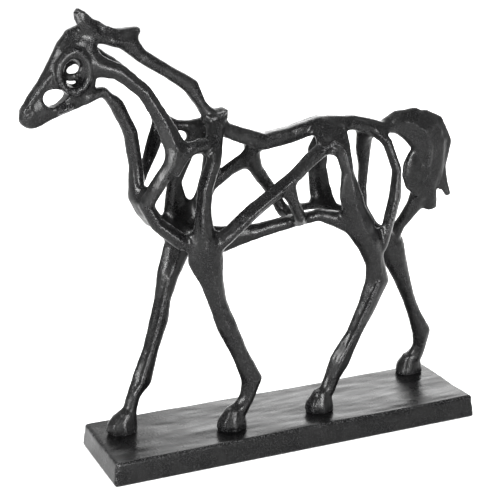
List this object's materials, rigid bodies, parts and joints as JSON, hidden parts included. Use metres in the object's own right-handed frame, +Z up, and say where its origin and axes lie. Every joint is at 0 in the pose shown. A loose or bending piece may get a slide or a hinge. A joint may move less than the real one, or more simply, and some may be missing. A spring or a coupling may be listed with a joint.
{
  "type": "cast iron horse statue",
  "caption": "Walking horse in openwork cast iron, its body drawn with bent bars and open windows, standing on a rectangular slab plinth.",
  "frame": {"origin": "middle of the plinth's underside", "axes": "+X along the plinth from the horse's head to its tail, +Y across the plinth from the horse's left side to its right, +Z up"},
  "size_m": [0.3514, 0.08, 0.3395],
  "materials": {
    "horse_iron": "black wax over the as-cast skin, satin, with bright worn ridges",
    "plinth_iron": "black paint over a gently uneven cast slab, semi-gloss"
  },
  "bodies": {
    "root": {"horse": "horse_iron", "plinth": "plinth_iron"}
  },
  "joints": []
}
